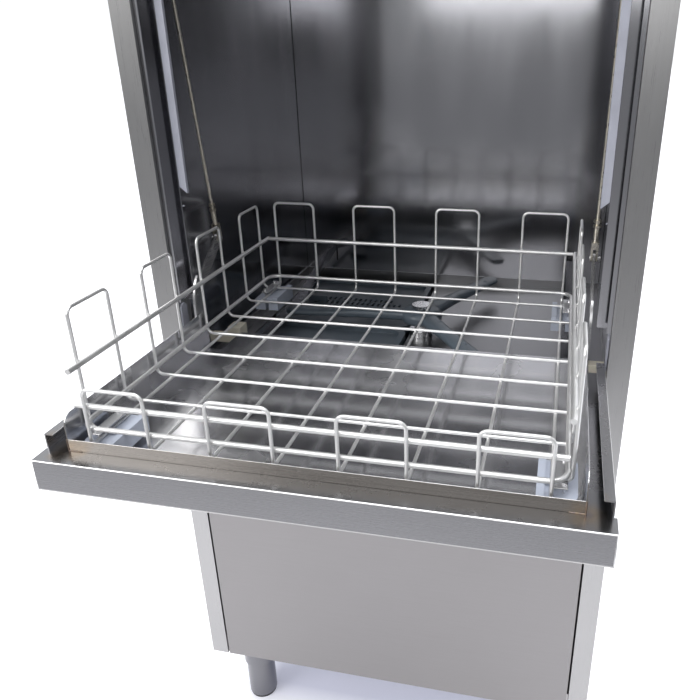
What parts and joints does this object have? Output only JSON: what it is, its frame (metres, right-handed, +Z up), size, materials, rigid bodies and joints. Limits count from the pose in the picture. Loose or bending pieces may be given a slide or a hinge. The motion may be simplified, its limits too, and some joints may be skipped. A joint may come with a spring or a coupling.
{
  "type": "commercial dishwasher",
  "caption": "Front-loading pot and utensil washer with a split door: the upper door slides up, the lower door folds down to a shelf that carries the wire rack.",
  "frame": {"origin": "floor level, centre of the whole footprint with the lower door open", "axes": "+Z up, +Y from the door towards the back wall, +X to the right of a person who faces the door"},
  "size_m": [0.68, 1.03, 1.7023],
  "materials": {
    "brushed_casing": "brushed, satin",
    "chamber_steel": "cold rolled, half bright",
    "door_steel": "satin, heat tinted at the welds",
    "pan_steel": "mirror like inside",
    "bright_steel": "machined, bright",
    "rack_wire": "electropolished",
    "blue_grey_plastic": "moulded, satin",
    "pale_blue_plastic": "moulded, satin",
    "nylon": "machined nylon",
    "black_rubber": "matte",
    "dark_plastic": "gloss",
    "green_plastic": "gloss",
    "grey_plastic": "gloss",
    "red_plastic": "gloss",
    "painted_grey": "powder coat",
    "tinted_rod": "passivated, yellow"
  },
  "bodies": {
    "cabinet": {"base_tray": "brushed_casing", "leg_tubes": "brushed_casing", "levelling_feet": "black_rubber", "side_casing_left": "brushed_casing", "side_casing_right": "brushed_casing", "rear_panel": "brushed_casing", "top_cover": "brushed_casing", "fascia": "brushed_casing", "display_lens": "dark_plastic", "lower_front_panel": "brushed_casing", "panel_screws": "bright_steel", "chamber_shell": "chamber_steel", "chamber_roof": "chamber_steel", "tank": "chamber_steel", "rack_rail_left": "chamber_steel", "rack_rail_right": "chamber_steel", "rail_blocks": "nylon", "filter_tray_front": "blue_grey_plastic", "filter_tray_rear": "blue_grey_plastic", "suction_strainer": "bright_steel", "overflow_standpipe": "blue_grey_plastic", "lower_spindle": "bright_steel", "upper_spindle": "bright_steel", "riser_pipe": "bright_steel", "wash_pump": "painted_grey", "boiler": "bright_steel", "tank_heater": "bright_steel", "inlet_valve": "dark_plastic", "dosing_pumps": "dark_plastic", "electrical_box": "painted_grey", "cable_gland": "black_rubber", "drain_pipe": "black_rubber", "door_guides": "chamber_steel", "guide_strips": "pale_blue_plastic", "door_plates": "pale_blue_plastic", "balance_springs": "bright_steel", "hinge_bushes": "nylon"},
    "start_button": {"start_button": "green_plastic"},
    "cycle_button": {"cycle_button": "grey_plastic"},
    "power_button": {"power_button": "red_plastic"},
    "lower_wash_arm": {"lower_wash_arm": "blue_grey_plastic"},
    "upper_wash_arm": {"upper_wash_arm": "blue_grey_plastic"},
    "upper_rinse_arm": {"upper_rinse_arm": "bright_steel"},
    "pump_impeller": {"pump_impeller": "tinted_rod"},
    "upper_door": {"upper_door_skin": "brushed_casing", "upper_door_liner": "chamber_steel", "upper_door_handle": "bright_steel", "upper_door_blocks": "nylon"},
    "lower_door": {"lower_door_shell": "door_steel", "lower_door_pan": "pan_steel", "hinge_pins": "bright_steel", "lever_arms": "door_steel", "clevis_pins": "bright_steel"},
    "link_rods": {"link_rods": "tinted_rod"},
    "rack": {"rack_cross_hoops": "rack_wire", "rack_long_hoops": "rack_wire", "rack_rails": "rack_wire", "rack_skids": "pale_blue_plastic", "skid_plates": "bright_steel", "skid_screws": "bright_steel"}
  },
  "joints": [
    {"name": "rack_slide", "type": "slide", "parent": "cabinet", "child": "rack", "axis": [0, 1, 0], "range_m": [0, 0.319]},
    {"name": "lower_door_hinge", "type": "hinge", "parent": "cabinet", "child": "lower_door", "pos_m": [0, -0.168, 0.77], "axis": [-1, 0, 0], "range_deg": [0, 1]},
    {"name": "link_rod_pivot", "type": "hinge", "parent": "lower_door", "child": "link_rods", "pos_m": [0, -0.082, 0.919], "axis": [-1, 0, 0], "range_deg": [-1, 0]},
    {"name": "upper_door_slide", "type": "slide", "parent": "cabinet", "child": "upper_door", "axis": [0, 0, 1], "range_m": [-0.24, 0]},
    {"name": "lower_wash_arm_spin", "type": "hinge", "parent": "cabinet", "child": "lower_wash_arm", "pos_m": [0, 0.113, 0.74], "axis": [0, 0, 1], "continuous": true},
    {"name": "upper_wash_arm_spin", "type": "hinge", "parent": "cabinet", "child": "upper_wash_arm", "pos_m": [0, 0.113, 1.33], "axis": [0, 0, 1], "continuous": true},
    {"name": "upper_rinse_arm_spin", "type": "hinge", "parent": "cabinet", "child": "upper_rinse_arm", "pos_m": [0, 0.113, 1.36], "axis": [0, 0, 1], "continuous": true},
    {"name": "pump_impeller_spin", "type": "hinge", "parent": "cabinet", "child": "pump_impeller", "pos_m": [0.06, 0.065, 0.2723], "axis": [1, 0, 0], "continuous": true},
    {"name": "start_button_press", "type": "slide", "parent": "cabinet", "child": "start_button", "axis": [0, 1, 0], "range_m": [0, 0.003], "stiffness_N_per_m": 800},
    {"name": "cycle_button_press", "type": "slide", "parent": "cabinet", "child": "cycle_button", "axis": [0, 1, 0], "range_m": [0, 0.003], "stiffness_N_per_m": 800},
    {"name": "power_button_press", "type": "slide", "parent": "cabinet", "child": "power_button", "axis": [0, 1, 0], "range_m": [0, 0.003], "stiffness_N_per_m": 800}
  ],
  "couplings": [
    {"joint": "link_rod_pivot", "follows": "lower_door_hinge", "ratio": -1}
  ]
}
